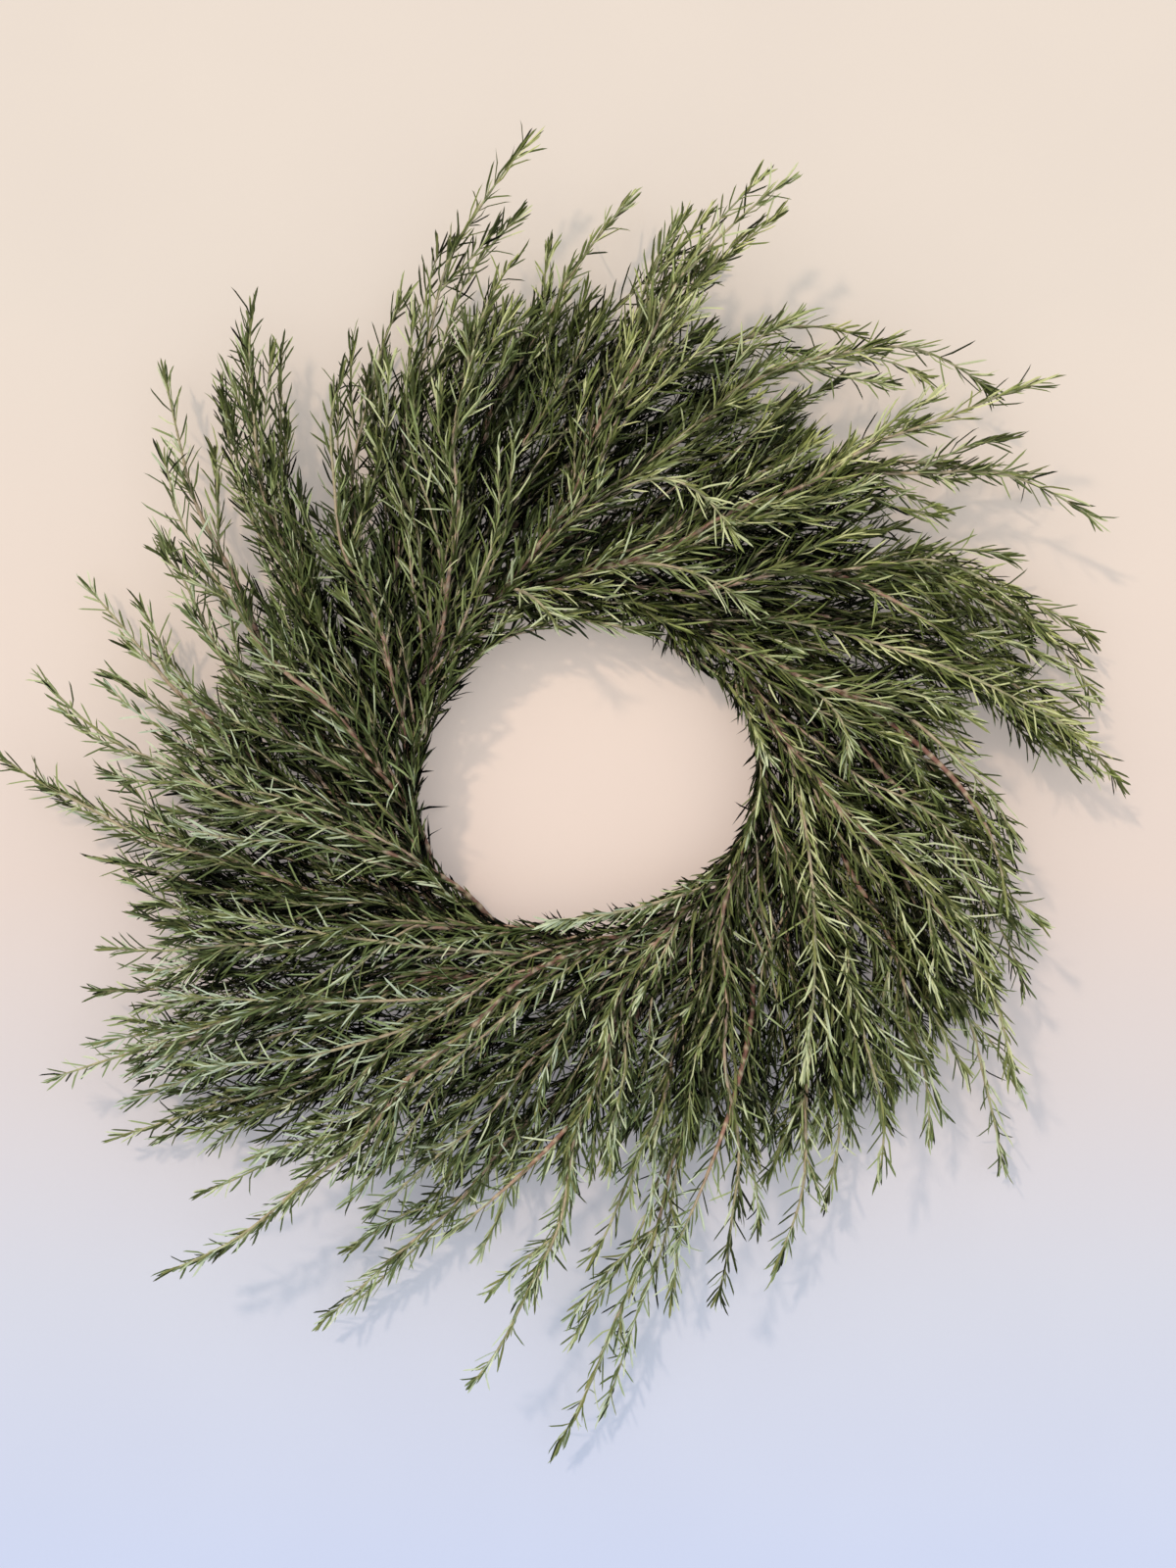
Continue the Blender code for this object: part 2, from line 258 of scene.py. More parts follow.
class Line:
    """A branch's centre line with a frame at any distance along it."""

    def __init__(self, points):
        self.points = points
        steps = np.linalg.norm(np.diff(points, axis=0), axis=1)
        self.along = np.concatenate([[0.0], np.cumsum(steps)])
        self.length = self.along[-1]

    def at(self, distance):
        """Points at these distances, straight on past the tip."""
        distance = np.asarray(distance, float)
        inside = np.clip(distance, 0.0, self.length)
        found = np.stack([np.interp(inside, self.along, self.points[:, i]) for i in range(3)], -1)
        end = unit(self.points[-1] - self.points[-4])
        return found + (distance - inside)[..., None] * end

    def frame_at(self, distance):
        """The directions forward, to the left and up from the branch at these distances."""
        step = 1.5 * MM
        distance = np.asarray(distance, float)
        forward = unit(self.at(distance + step) - self.at(distance - step))
        across = unit(np.cross(UP, forward))
        return forward, across, np.cross(forward, across)


def sprig_line(tie_deg, place, tip, sway):
    """A sprig's centre line from its cut end to its tip, which sways a little."""
    wire_radius, follow_deg, follow_radius, first_handle, last_handle, climb = place
    tip_deg, tip_radius, tip_heading, droop = tip
    share = np.linspace(0.0, 1.0, FOLLOW_STEPS)[:-1]
    ease = share * share * (3 - 2 * share)
    radii = wire_radius + (follow_radius - wire_radius) * ease
    arc = [polar(r, tie_deg - follow_deg * f) for r, f in zip(radii, share)]
    start_deg = tie_deg - follow_deg
    start = polar(follow_radius, start_deg)
    end = polar(tip_radius * MM, tip_deg)
    chord = float(np.linalg.norm(end - start))
    near = start + heading(start_deg - 90) * chord * first_handle
    far = end - heading(tip_heading) * chord * last_handle
    t = np.linspace(0.0, 1.0, PATH_STEPS)[:, None]
    curve = (1 - t) ** 3 * start + 3 * (1 - t) ** 2 * t * near
    curve = curve + 3 * (1 - t) * t**2 * far + t**3 * end
    across = unit((end - start)[::-1] * (1, -1))
    swing = np.sin(np.pi * t) * np.sin(2 * np.pi * (chord / SWAY_LENGTH * t + sway))
    curve = curve + SWAY * swing * across
    plan = np.vstack([np.array(arc), curve])
    steps = np.linalg.norm(np.diff(plan, axis=0), axis=1)
    along = np.concatenate([[0.0], np.cumsum(steps)])
    length = along[-1]
    risen = np.maximum(along - CLIMB_START, 0.0)
    level = STEM_LEVEL + climb * CLIMB_LENGTH * (1 - np.exp(-risen / CLIMB_LENGTH))
    past = np.clip((along / length - DROOP_START) / (1 - DROOP_START), 0.0, 1.0)
    level = level - droop * MM * past**2
    behind = np.linspace(STEM_BEHIND_TIE, 2 * MM, 6)
    tail = polar(wire_radius, tie_deg) - behind[:, None] * heading(tie_deg - 90)
    points = np.vstack([tail, plan])
    level = np.concatenate([np.full(len(tail), STEM_LEVEL), level])
    return Line(np.column_stack([points, level]) + RING_CENTRE)


class Pile:
    """Vertices, triangles, face materials and vertex values gathered into one mesh."""

    def __init__(self):
        self.points, self.faces, self.slots = [], [], []
        self.values = {"tint": [], "place": [], "cool": []}
        self.count = 0

    def add(self, points, faces, slots, tint, place, cool):
        self.points.append(points)
        self.faces.append(faces + self.count)
        self.slots.append(slots)
        for label, values in (("tint", tint), ("place", place), ("cool", cool)):
            self.values[label].append(np.broadcast_to(values, len(points)))
        self.count += len(points)

    def build(self, name, materials, smooth):
        """One object of all that was added, kept within the room round the frame's box."""
        points = np.concatenate(self.points)
        faces = np.concatenate(self.faces)
        low = np.array(cad_low) - ROOM
        high = np.array(cad_high) + ROOM
        low[2] = LOWEST
        points = np.clip(points, low, high)
        mesh = bpy.data.meshes.new(name)
        mesh.from_pydata(points, [], faces)
        for material in materials:
            mesh.materials.append(material)
        mesh.polygons.foreach_set("material_index", np.concatenate(self.slots).astype(np.int32))
        mesh.polygons.foreach_set("use_smooth", np.full(len(faces), smooth))
        for label, values in self.values.items():
            layer = mesh.attributes.new(label, "FLOAT", "POINT")
            layer.data.foreach_set("value", np.concatenate(values).astype(np.float32))
        mesh.update()
        made = bpy.data.objects.new(name, mesh)
        bpy.context.scene.collection.objects.link(made)
        return made


def tube(pile, centres, across, upward, radii, sides, tint, places, knots, closed=False):
    """A round tube through the centres, closed at its ends or into a loop."""
    count = len(centres)
    a = 2 * math.pi * np.arange(sides) / sides
    sideways = np.cos(a)[None, :, None] * across[:, None, :]
    outwards = sideways + np.sin(a)[None, :, None] * upward[:, None, :]
    points = (centres[:, None, :] + radii[:, None, None] * outwards).reshape(-1, 3)
    gaps = count if closed else count - 1
    first = np.arange(gaps)[:, None] * sides
    second = ((np.arange(gaps)[:, None] + 1) % count) * sides
    i = np.arange(sides)[None, :]
    j = (i + 1) % sides
    faces = [
        np.stack([first + i, first + j, second + j], -1).reshape(-1, 3),
        np.stack([first + i, second + j, second + i], -1).reshape(-1, 3),
    ]
    values = np.repeat(places, sides)
    knotty = np.repeat(knots, sides)
    if not closed:
        points = np.vstack([points, centres[:1], centres[-1:]])
        values = np.concatenate([values, places[:1], places[-1:]])
        knotty = np.concatenate([knotty, knots[:1], knots[-1:]])
        base, top = count * sides, count * sides + 1
        last = (count - 1) * sides
        i, j = i[0], j[0]
        faces.append(np.stack([j, i, np.full(sides, base)], -1))
        faces.append(np.stack([last + i, last + j, np.full(sides, top)], -1))
    faces = np.vstack(faces)
    pile.add(points, faces, np.zeros(len(faces)), tint, values, knotty)


def stem(pile, line, node_gap, radii_at, swell, sides, tint, place_at):
    """A branch's own wood, a little swollen at each node."""
    count = max(2, int(round(line.length / node_gap)))
    distance = np.linspace(0.0, line.length, 2 * count + 1)
    knots = np.arange(len(distance)) % 2.0
    radii = radii_at(distance) * (1 + (swell - 1) * knots)
    _, across, upward = line.frame_at(distance)
    tube(pile, line.at(distance), across, upward, radii, sides, tint, place_at(distance), knots)


def grow_leaves(rows, bases, directions, facings, lengths, widths, bends, tints, cools, curls):
    """Needle leaves, each with a ridged upper face, a flat underside and a blunt tip."""
    count = len(bases)
    shares, breadths, ridges = np.array(rows).T
    sideways = unit(np.cross(directions, facings))
    facings = np.cross(sideways, directions)
    t = shares[None, :, None]
    spine = (
        bases[:, None, :]
        + directions[:, None, :] * lengths[:, None, None] * t
        + (facings * (bends * lengths)[:, None] + curls * lengths[:, None])[:, None, :] * t**2
    )
    half = widths[:, None, None] / 2 * breadths[None, :, None] * sideways[:, None, :]
    rise = widths[:, None, None] * LEAF_THICKNESS * ridges[None, :, None] * facings[:, None, :]
    rings = np.stack([spine - half, spine + rise, spine + half], 2)
    ends = facings * (bends * lengths + widths * 0.1)[:, None]
    tips = bases + (directions + curls) * lengths[:, None] + ends
    points = np.concatenate([rings.reshape(count, -1, 3), tips[:, None, :]], 1)
    per_leaf = points.shape[1]
    faces, slots = [(0, 2, 1)], [1]
    for row in range(len(rows) - 1):
        for side in range(3):
            a, b = row * 3 + side, row * 3 + (side + 1) % 3
            faces += [(a, b, b + 3), (a, b + 3, a + 3)]
            slots += [int(side == 2)] * 2
    last = (len(rows) - 1) * 3
    for side in range(3):
        faces.append((last + side, last + (side + 1) % 3, per_leaf - 1))
        slots.append(int(side == 2))
    firsts = (np.arange(count) * per_leaf)[:, None, None]
    return (
        points.reshape(-1, 3),
        (np.array(faces)[None] + firsts).reshape(-1, 3),
        np.tile(np.array(slots), count),
        np.repeat(tints, per_leaf),
        np.tile(np.append(np.repeat(shares, 3), 1.0), count),
        np.repeat(cools, per_leaf),
    )


def leaf_whorls(
    line, rng, start, gap, reach, lean_deg, axil_count, radius_at, fresh, cover_count=COVER_COUNT
):
    """Opposite pairs, each turned a quarter from the last, with small leaves in their axils.

    Some leaves lie over the stem and a tuft ends it. They come back as one array for each measure.
    """
    found = []
    distance = [start]
    while distance[-1] < line.length - 4 * MM:
        near_tip = np.clip((line.length - distance[-1]) / (26 * MM), 0.5, 1.0)
        distance.append(distance[-1] + gap * near_tip * rng.uniform(0.85, 1.15))
    distance = np.array(distance[:-1])
    turn = math.pi / 4 + rng.normal(0, 0.25)
    for index, s in enumerate(distance):
        share = np.clip((line.length - s) / (30 * MM), 0.0, 1.0)
        outside = beyond(line.at(s), DENSE_RADII)
        size = (0.78 + 0.22 * share) * (0.86 + 0.14 * np.clip(0.5 - outside / (50 * MM), 0, 1))
        lean = lean_deg * (0.55 + 0.45 * share)
        pair = turn + index * math.pi / 2 + rng.normal(0, 0.2)
        crowded = np.clip(0.4 - outside / (50 * MM), 0.3, 1.0)
        for side in (0.0, math.pi):
            found.append((s, pair + side + rng.normal(0, 0.12), lean + rng.normal(0, 9), size, 0))
            for _ in range(rng.poisson(axil_count * crowded)):
                found.append(
                    (
                        s + rng.uniform(-1.0, 2.5) * MM,
                        pair + side + rng.normal(0, 0.5),
                        lean * rng.uniform(0.5, 1.25),
                        size * rng.uniform(0.42, 0.78),
                        1,
                    )
                )
        for _ in range(rng.poisson(cover_count)):
            over = math.pi / 2 + rng.normal(0, 0.6)
            found.append(
                (
                    s + rng.uniform(-1, 3) * MM,
                    over,
                    rng.uniform(6, 22),
                    size * rng.uniform(0.5, 0.85),
                    1,
                )
            )
    end = line.length - 1.2 * MM
    for k in range(TUFT_LEAVES):
        found.append((end, k * 2.4 + turn, rng.uniform(5, 24), rng.uniform(0.55, 0.85), 0))
    s, turn, lean, size, young = np.array(found).T
    count = len(s)
    forward, across, upward = line.frame_at(s)
    radial = unit(np.cos(turn)[:, None] * across + np.sin(turn)[:, None] * upward * 0.7)
    lean = np.radians(np.clip(lean, LEAST_LEAN, MOST_LEAN))
    direction = unit(np.cos(lean)[:, None] * forward + np.sin(lean)[:, None] * radial)
    direction = unit(direction + rng.normal(0, 0.12, (count, 3)))
    inward = np.sin(lean)[:, None] * forward - np.cos(lean)[:, None] * radial
    curl = inward * rng.normal(0.05, 0.15, count)[:, None]
    facing = inward + UP * rng.uniform(0.4, 1.5, count)[:, None]
    facing = facing + rng.normal(0, 0.25, (count, 3))
    length = reach * size * rng.uniform(0.80, 1.18, count)
    width = rng.uniform(1.55, 2.15, count) * MM * np.where(young > 0, 0.86, 1.0)
    bend = rng.normal(0.03, 0.17, count)
    base = line.at(s) + radial * (radius_at(s) * 0.75)[:, None]
    ends = clear_of_hole(base + direction * length[:, None], rng.normal(0, 4, count) * MM)
    direction = unit(ends - base)
    length = np.clip(np.linalg.norm(ends - base, axis=1), 0.45 * length, length)
    least = (LEAST_LEVEL - base[:, 2]) / length
    direction[:, 2] = np.maximum(direction[:, 2], np.minimum(least, 0.6))
    direction = unit(direction)
    tint = fresh + rng.normal(0, 0.22, count) + 0.08 * young
    # Painted bluish light: leaves towards the lower left get more cool share; the rest is each
    # shoot's own.
    lower_left = np.clip(0.5 - (base - RING_CENTRE) @ (1.1, 1.6, 0.0), 0, 1)
    cool = 0.6 * lower_left + 0.4 * rng.uniform(0, 1)
    return base, direction, facing, length, width, bend, tint, cool, curl, young


def top_line(line, start, bend, end):
    """A shoot that bends over the others."""
    first = line.at(start)
    second = RING_CENTRE + np.append(polar(bend[1] * MM, bend[0]), cad_high.z - 2 * MM)
    third = RING_CENTRE + np.append(polar(end[1] * MM, end[0]), cad_high.z - 10 * MM)
    t = np.linspace(0.0, 1.0, 24)[:, None]
    return Line((1 - t) ** 2 * first + 2 * (1 - t) * t * second + t**2 * third)


def shoot_line(line, start, turn, length, spread_deg, rng):
    """A side shoot, which leaves its stem at a sharp angle and then turns along it."""
    share = np.linspace(0.0, 1.0, 14)
    along = start + share * length
    _, across, upward = line.frame_at(along)
    radial = math.cos(turn) * across + math.sin(turn) * upward
    spread = length * math.tan(math.radians(spread_deg))
    aside = spread * (share - 0.6 * share**2 / 2)
    wander = rng.normal(0, 1, 3) * (0.055, 0.055, 0.03) * length
    points = line.at(along) + aside[:, None] * radial + (share**2)[:, None] * wander
    points = clear_of_hole(points, 3 * MM)
    points[:, 2] = np.maximum(points[:, 2], 2.2 * MM + 1.5 * MM * share)
    points[:, 2] = np.minimum(points[:, 2], cad_high.z - 9 * MM)
    return Line(points)


def blend(first, second, share):
    return first + (second - first) * share


def beyond(points, radii):
    """How far points lie outside a rim, whose radii are at even steps round from +X."""
    offset = (points - RING_CENTRE)[..., :2]
    turn = np.degrees(np.arctan2(offset[..., 1], offset[..., 0]))
    rim = np.interp(turn, np.arange(len(radii)) * 360.0 / len(radii), radii, period=360)
    return np.linalg.norm(offset, axis=-1) - rim


def clear_of_hole(points, room):
    """The points moved outwards where they lie over the open middle."""
    short = np.maximum(room - beyond(points, HOLE_RADII), 0.0)
    outward = (points - RING_CENTRE) * (1.0, 1.0, 0.0)
    return points + unit(outward) * short[..., None]


def plan_shoots(line, index, shoots, free_shoots, rng):
    """Where each side shoot leaves its stem: distance, turn, length and angle."""
    leafy = line.length - STEM_BEHIND_TIE
    planned = []
    for fork, side, length in shoots:
        turn = 0.0 if side > 0 else math.pi
        planned.append((STEM_BEHIND_TIE + fork * leafy, turn, length, FORK_DEG))
    for k in range(LONG_SHOOTS):
        s = STEM_BEHIND_TIE + leafy * (0.04 + 0.40 * (k + rng.uniform(0, 0.8)) / LONG_SHOOTS)
        below = rng.normal(0.45, 0.4)
        turn = -below if (k + index) % 2 else math.pi + below
        free = k >= LONG_SHOOTS - free_shoots
        length = (rng.uniform(0.68, 0.90) if free else rng.uniform(0.55, 0.85)) * (line.length - s)
        aside = rng.uniform(5, 22 if free else 62) * MM
        while not free and length > 40 * MM:
            if beyond(line.at(s + length), DENSE_RADII) <= rng.uniform(-26, 8) * MM:
                break
            length -= 8 * MM
        planned.append((s, turn, length, math.degrees(math.atan(aside / 0.7 / length))))
    for k in range(SHORT_SHOOTS):
        s = STEM_BEHIND_TIE + leafy * (0.10 + 0.76 * (k + rng.uniform(-0.3, 0.3)) / SHORT_SHOOTS)
        turn = (0.0 if k % 2 else math.pi) + rng.normal(0, 0.75)
        length = (66 - 32 * (s / line.length)) * MM * rng.uniform(0.6, 1.25)
        if free_shoots < LONG_SHOOTS and beyond(line.at(s + length), DENSE_RADII) > 15 * MM:
            length *= 0.4
        planned.append((s, turn, length, rng.uniform(13, 26)))
    follows_ring = index % len(PLACES) == len(PLACES) - 1
    for k in range(INNER_SHOOTS if follows_ring else 0):
        s = STEM_BEHIND_TIE + (12 + 20 * k + rng.uniform(-6, 6)) * MM
        turn = math.pi - rng.uniform(0.1, 0.6)
        planned.append((s, turn, rng.uniform(34, 56) * MM, rng.uniform(22, 40)))
    return [
        (s, turn, min(length, (line.length - s) * 0.92), spread)
        for s, turn, length, spread in planned
    ]


class Sprig:
    """One sprig: its wood, and its leaves as bare measures until the whole wreath is grown."""

    def __init__(self, name, index, tie_deg, place, tip, shoots):
        rng = np.random.default_rng(SPRIG_SEED + index)
        line = sprig_line(tie_deg, place, tip, rng.uniform(0, 1))
        low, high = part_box(name)
        ends = np.array([line.points[0], line.points[-1]])
        slack = 6 * MM
        if (ends < np.array(low) - slack).any() or (ends > np.array(high) + slack).any():
            raise RuntimeError(f"{name} isn't where the frame has it")
        self.name, self.rng, self.line = name, rng, line
        self.wood = Pile()
        self.woody = rng.uniform(0, 1)
        open_growth = 0.5 + 0.5 * math.cos(math.radians(tip[0] - 70))
        mid_radius = (1.10 + 1.0 * self.woody**3) * MM
        shares = [0, 0.08, 0.25, 0.55, 0.85, 1]
        radii = [2.35 * MM, 2.35 * MM, 1.2 * MM + mid_radius / 2, mid_radius, 0.85 * MM, 0.55 * MM]

        def place_at(distance):
            return np.asarray(distance) / line.length

        def radius_at(distance):
            return np.interp(place_at(distance), shares, radii)

        stem(self.wood, line, SPRIG_NODE_GAP, radius_at, 1.22, 6, self.woody, place_at)
        # Each sprig's own tone, made a little lighter or darker by where its tip points round the
        # wreath.
        self.fresh = rng.uniform(0.43, 0.74) + 0.04 * math.cos(math.radians(tip[0] + 75))
        self.reach = blend(23, 27, open_growth) * MM * rng.uniform(0.88, 1.12)
        self.gap = blend(9.6, 11.0, open_growth) * MM
        first = STEM_BEHIND_TIE + 9 * MM
        self.grown = [
            leaf_whorls(
                line, rng, first, self.gap, self.reach, *SPRIG_LEAVES, radius_at, self.fresh
            )
        ]
        label = name.removeprefix("sprig_")
        free_shoots = FULLER_SHOOTS * (label in FULLER_SPRIGS)
        if label in BUSHY_SPRIGS:
            free_shoots = LONG_SHOOTS
        for s, turn, length, spread in plan_shoots(line, index, shoots, free_shoots, rng):
            if length > LEAST_SHOOT:
                self.grow_shoot(shoot_line(line, s, turn, length, spread, rng), s)
        for owner, *measures in TOP_SHOOTS:
            if owner == label:
                self.grow_top_shoot(*measures)

    def grow_top_shoot(self, start, bend, end, fresh, bare):
        """A shoot that lies over all others, either old and mostly bare or young and leafy."""
        shoot = top_line(self.line, start, bend, end)
        old = bare > MOSTLY_BARE
        thick = BARE_RADIUS if old else FRESH_RADIUS
        first_place = 0.22 if old else 0.60

        def radius_at(distance):
            share = np.asarray(distance) / shoot.length
            return np.interp(share, [0, 0.6, 1], [thick, thick * 0.7, 0.5 * MM])

        def place_at(distance):
            return first_place + (1 - first_place) * (np.asarray(distance) / shoot.length) ** 2

        stem(self.wood, shoot, TOP_NODE_GAP, radius_at, 1.2, 6, 1.0 if old else 0.1, place_at)
        gap = self.gap * 0.8
        first = bare * shoot.length
        self.grown.append(
            leaf_whorls(
                shoot, self.rng, first, gap, self.reach, *TOP_LEAVES, radius_at, fresh, TOP_COVER
            )
        )

    def grow_shoot(self, shoot, start):
        """One leafy side shoot, whose stem begins at this distance along the sprig."""
        rng = self.rng
        share = start / self.line.length
        thick = blend(1.15, 0.75, share) * MM

        def radius_at(distance):
            return np.interp(np.asarray(distance) / shoot.length, [0, 1], [thick, 0.48 * MM])

        def place_at(distance):
            return np.clip(share + 0.25 + 0.5 * np.asarray(distance) / shoot.length, 0, 1)

        stem(self.wood, shoot, SHOOT_NODE_GAP, radius_at, 1.25, 4, self.woody * 0.5, place_at)
        reach = self.reach * rng.uniform(0.80, 1.02)
        fresh = self.fresh + rng.normal(0.04, 0.08)
        gap = self.gap * 0.86
        leaves = leaf_whorls(shoot, rng, 6 * MM, gap, reach, *SHOOT_LEAVES, radius_at, fresh)
        self.grown.append(leaves)
        return leaves

    def fill_gaps(self, cover):
        """Further shoots, each to the most open spot among a few tries."""
        rng = self.rng
        for _ in range(GAP_SHOOTS):
            chosen, most = None, LEAST_OPEN
            for _ in range(GAP_TRIES):
                start = self.line.length * rng.uniform(0.08, 0.88)
                below = rng.uniform(0.1, 0.8)
                turn = -below if rng.uniform() < 0.5 else math.pi + below
                length = rng.uniform(30, 85) * MM
                shoot = shoot_line(self.line, start, turn, length, rng.uniform(10, 42), rng)
                outer = shoot.points[4:]
                inside = beyond(outer, DENSE_RADII) < 4 * MM
                gain = (cover.openness(outer) * inside).mean()
                if gain > most:
                    chosen, most = (shoot, start), gain
            if chosen:
                cover.add(self.grow_shoot(*chosen))

    def gather(self):
        """All leaves so far in one set of measures, and which of them are small."""
        parts = [np.concatenate(values) for values in zip(*self.grown)]
        self.simple = parts.pop() > 0
        self.leaves = parts
        self.middles = parts[0] + parts[1] * (parts[3] * 0.5)[:, None]

    def paint_shade_below(self, canopy):
        """Shaded leaves get painted shade, and are broader, plainer and fewer in deep shade."""
        shade = canopy.shade(self.middles)
        self.leaves[5] = self.leaves[5] * (1 + SHADE_BREADTH * shade)
        open_edge = np.clip(0.4 - beyond(self.middles, DENSE_RADII) / (60 * MM), FRINGE_SHADE, 1.0)
        # Painted shade and light: leaves under others are painted darker, those in the open
        # lighter.
        darker = PAINTED_SHADE_DEPTH * shade * open_edge
        self.leaves[6] = np.clip(self.leaves[6] + OPEN_PAINTED_LIGHT - darker, 0, 1)
        kept = (shade < SPARSE_SHADE) | (np.arange(len(shade)) % 2 == 0)
        self.simple = (self.simple | (shade > PLAIN_SHADE))[kept]
        self.leaves = [values[kept] for values in self.leaves]

    def build(self, woods, greens):
        """The sprig's two pieces, its wood and its leaves."""
        green = Pile()
        for rows, chosen in ((GROWN_ROWS, ~self.simple), (SMALL_ROWS, self.simple)):
            green.add(*grow_leaves(rows, *(values[chosen] for values in self.leaves)))
        stems = self.wood.build(f"{self.name}_stem", woods, True)
        leaves = green.build(f"{self.name}_leaves", greens, False)
        for piece in (stems, leaves):
            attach(piece, "root")
            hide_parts(self.name)


class Cover:
    """How many leaves lie over each spot of the floor."""

    def __init__(self):
        self.low = np.array(cad_low)[:2] - 4 * GAP_CELL
        self.count = np.zeros(((np.array(cad_high)[:2] - self.low) / GAP_CELL).astype(int) + 5)

    def cells(self, points):
        found = ((points[:, :2] - self.low) / GAP_CELL).astype(int)
        return tuple(np.clip(found, 0, np.array(self.count.shape) - 1).T)

    def add(self, leaves):
        bases, directions, _, lengths = leaves[:4]
        for share in (0.3, 0.7):
            np.add.at(self.count, self.cells(bases + directions * (lengths * share)[:, None]), 0.5)

    def openness(self, points):
        return np.exp(-self.count[self.cells(points)] / LEAVES_THAT_COVER)


class Canopy:
    """How deep a spot of the wreath lies under the leaves above it."""

    def __init__(self, middles):
        self.low = middles.min(0) - 2 * CANOPY_CELL
        cells = self.cells(middles)
        size = cells.max(0) + 3
        count = np.zeros(size)
        np.add.at(count, tuple(cells.T), 1.0)
        above = np.cumsum(count[:, :, ::-1], 2)[:, :, ::-1] - count
        padded = np.pad(above, ((1, 1), (1, 1), (0, 0)))
        self.above = sum(padded[i:i + size[0], j:j + size[1]] for i in range(3) for j in range(3))

    def cells(self, points):
        return ((points - self.low) / (CANOPY_CELL, CANOPY_CELL, CANOPY_LAYER)).astype(int)

    def shade(self, points):
        """From 0 in the open to nearly 1 deep in the wreath."""
        return 1 - np.exp(-self.above[tuple(self.cells(points).T)] / LEAVES_THAT_SHADE)


class Nodes:
    """Short calls for laying out a material's nodes."""

    def __init__(self, name):
        self.material = bpy.data.materials.new(name)
        self.material.use_nodes = True
        self.tree = self.material.node_tree
        self.shader = self.tree.nodes["Principled BSDF"]

    def new(self, kind, **values):
        node = self.tree.nodes.new(kind)
        for key, value in values.items():
            setattr(node, key, value)
        return node

    def link(self, source, target):
        self.tree.links.new(source, target)

    def attribute(self, name):
        return self.new("ShaderNodeAttribute", attribute_name=name).outputs["Fac"]

    def ramp(self, source, stops):
        node = self.new("ShaderNodeValToRGB")
        elements = node.color_ramp.elements
        while len(elements) < len(stops):
            elements.new(0.5)
        for element, (position, colour) in zip(elements, stops):
            element.position = position
            element.color = (*colour, 1.0)
        self.link(source, node.inputs["Fac"])
        return node.outputs["Color"]

    def coordinates(self):
        return self.new("ShaderNodeTexCoord").outputs["Object"]

    def noise(self, scale, detail=3.0):
        node = self.new("ShaderNodeTexNoise")
        node.inputs["Scale"].default_value = scale
        node.inputs["Detail"].default_value = detail
        self.link(self.coordinates(), node.inputs["Vector"])
        return node.outputs["Fac"]

    def mix(self, kind, share, first, second):
        """Two colours mixed by a share, all three either fixed or other nodes' outputs."""
        node = self.new("ShaderNodeMix", data_type="RGBA", blend_type=kind)
        sockets = {socket.identifier: socket for socket in node.inputs}
        for label, value in (("Factor_Float", share), ("A_Color", first), ("B_Color", second)):
            if isinstance(value, (int, float)):
                sockets[label].default_value = value
            elif isinstance(value, tuple):
                sockets[label].default_value = (*value, 1.0)
            else:
                self.link(value, sockets[label])
        return next(socket for socket in node.outputs if socket.identifier == "Result_Color")

    def map_range(self, source, **ends):
        node = self.new("ShaderNodeMapRange")
        for end, value in ends.items():
            node.inputs[end.replace("_", " ").title()].default_value = value
        self.link(source, node.inputs["Value"])
        return node.outputs["Result"]

    def spread(self, source, low, high):
        """A source from 0 to 1, spread over this range."""
        return self.map_range(source, to_min=low, to_max=high)

    def between(self, source, first, last):
        """From 0 where the source has the first value to 1 where it has the last."""
        return self.map_range(source, from_min=first, from_max=last)

    def bump(self, source, strength, distance):
        node = self.new("ShaderNodeBump")
        node.inputs["Strength"].default_value = strength
        node.inputs["Distance"].default_value = distance
        self.link(source, node.inputs["Height"])
        self.link(node.outputs["Normal"], self.shader.inputs["Normal"])


def leaf_upper():
    """Dark and glossy green with pale bases, yellow-green on fresh leaves and in painted light."""
    n = Nodes("rosemary_leaf_upper")
    # The tint is each leaf's own tone with painted shade: darker under other leaves, lighter in the
    # open.
    colour = n.ramp(
        n.attribute("tint"),
        (
            (0.0, (0.003, 0.003, 0.001)),
            (0.25, (0.018, 0.020, 0.003)),
            (0.50, (0.059, 0.069, 0.009)),
            (0.75, (0.173, 0.194, 0.036)),
            (0.90, (0.435, 0.455, 0.122)),
            (1.0, (0.780, 0.745, 0.320)),
        ),
    )
    # Bluer where the cool share is high: each shoot's own tone, and painted bluish light to the
    # lower left.
    colour = n.mix("MULTIPLY", n.attribute("cool"), colour, (0.84, 0.98, 1.72))
    pale = n.ramp(
        n.attribute("place"),
        ((0.0, (0.9, 0.9, 0.9)), (0.12, (0.3, 0.3, 0.3)), (0.28, (0, 0, 0))),
    )
    base = n.ramp(
        n.attribute("tint"),
        ((0.1, (0.02, 0.02, 0.01)), (0.5, (0.26, 0.22, 0.10)), (0.9, (0.56, 0.50, 0.27))),
    )
    colour = n.mix("MIX", pale, colour, base)
    mottle = n.ramp(n.noise(260.0), ((0.3, (0.62, 0.66, 0.6)), (0.7, (1, 1, 1))))
    colour = n.mix("MULTIPLY", 0.5, colour, mottle)
    n.link(colour, n.shader.inputs["Base Color"])
    # Painted shade: the same tint makes shaded leaves less glossy.
    n.link(n.spread(n.attribute("tint"), 0.04, 0.42), n.shader.inputs["Specular IOR Level"])
    n.link(n.spread(n.noise(700.0), 0.34, 0.50), n.shader.inputs["Roughness"])
    n.bump(n.noise(2200.0, 2.0), 0.25, 0.0002)
    return n.material


